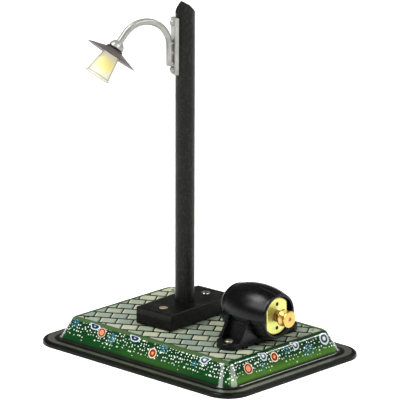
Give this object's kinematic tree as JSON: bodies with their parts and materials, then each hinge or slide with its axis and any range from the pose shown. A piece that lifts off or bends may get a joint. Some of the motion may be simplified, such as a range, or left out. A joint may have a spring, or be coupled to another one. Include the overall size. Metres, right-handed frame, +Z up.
{
  "type": "toy dynamo street lamp",
  "caption": "Toy street lamp on a wooden mast with a swan-neck bracket, lit by a belt-driven dynamo on a printed tin tray.",
  "frame": {"origin": "middle of the tray's footprint, on the floor", "axes": "+Z up along the mast, +X along the tray's long side towards the dynamo's pulley, +Y across the tray"},
  "size_m": [0.1108, 0.0826, 0.144],
  "materials": {
    "printed_tin": "gloss printed enamel",
    "black_wood": "satin black paint",
    "grey_cast": "satin grey",
    "shade_enamel": "satin dark enamel",
    "frosted_glass": "frosted",
    "bulb_glow": "clear, lit",
    "black_plastic": "satin moulded",
    "bright_nickel": "bright nickel",
    "brass": "polished",
    "bronze": "sintered, satin",
    "yellow_zinc": "yellow passivated",
    "motor_steel": "ground",
    "magnet_ferrite": "matte",
    "winding_copper": "enamelled copper",
    "ivory_plastic": "matte",
    "lead_insulation": "matte"
  },
  "bodies": {
    "stand": {"base_tray": "printed_tin", "mast_foot_block": "black_wood", "foot_near_screw": "bright_nickel", "foot_near_nut": "bright_nickel", "foot_far_screw": "bright_nickel", "foot_far_nut": "bright_nickel", "dynamo_lower_housing": "black_plastic", "dynamo_upper_cover": "black_plastic", "dynamo_near_screw": "bright_nickel", "dynamo_near_nut": "bright_nickel", "dynamo_far_screw": "bright_nickel", "dynamo_far_nut": "bright_nickel", "motor_can": "yellow_zinc", "motor_end_cap": "ivory_plastic", "front_bush": "bronze", "rear_bush": "bronze", "magnet_upper": "magnet_ferrite", "magnet_lower": "magnet_ferrite", "brush_upper": "winding_copper", "brush_lower": "winding_copper", "terminal_upper": "brass", "terminal_lower": "brass", "lamp_lead_lower": "lead_insulation"},
    "mast": {"mast_post": "black_wood", "bracket_plate": "grey_cast", "bracket_bolt_lower": "grey_cast", "bracket_bolt_upper": "grey_cast", "swan_neck_tube": "grey_cast", "lamp_cap": "grey_cast", "lamp_shade": "shade_enamel", "lamp_glass": "frosted_glass", "bulb_socket": "brass", "bulb_base": "brass", "bulb_glass": "bulb_glow", "lamp_lead_upper": "lead_insulation"},
    "rotor": {"rotor_shaft": "motor_steel", "rotor_core": "motor_steel", "winding_1": "winding_copper", "winding_2": "winding_copper", "winding_3": "winding_copper", "commutator": "winding_copper", "pulley": "brass"}
  },
  "joints": [
    {"name": "mast_swivel", "type": "hinge", "parent": "stand", "child": "mast", "pos_m": [-0.00985, 0.00185, 0.0184], "axis": [0, 0, 1], "range_deg": [-60, 60]},
    {"name": "rotor_spin", "type": "hinge", "parent": "stand", "child": "rotor", "pos_m": [0.031, 0.00185, 0.02285], "axis": [1, 0, 0], "continuous": true}
  ]
}
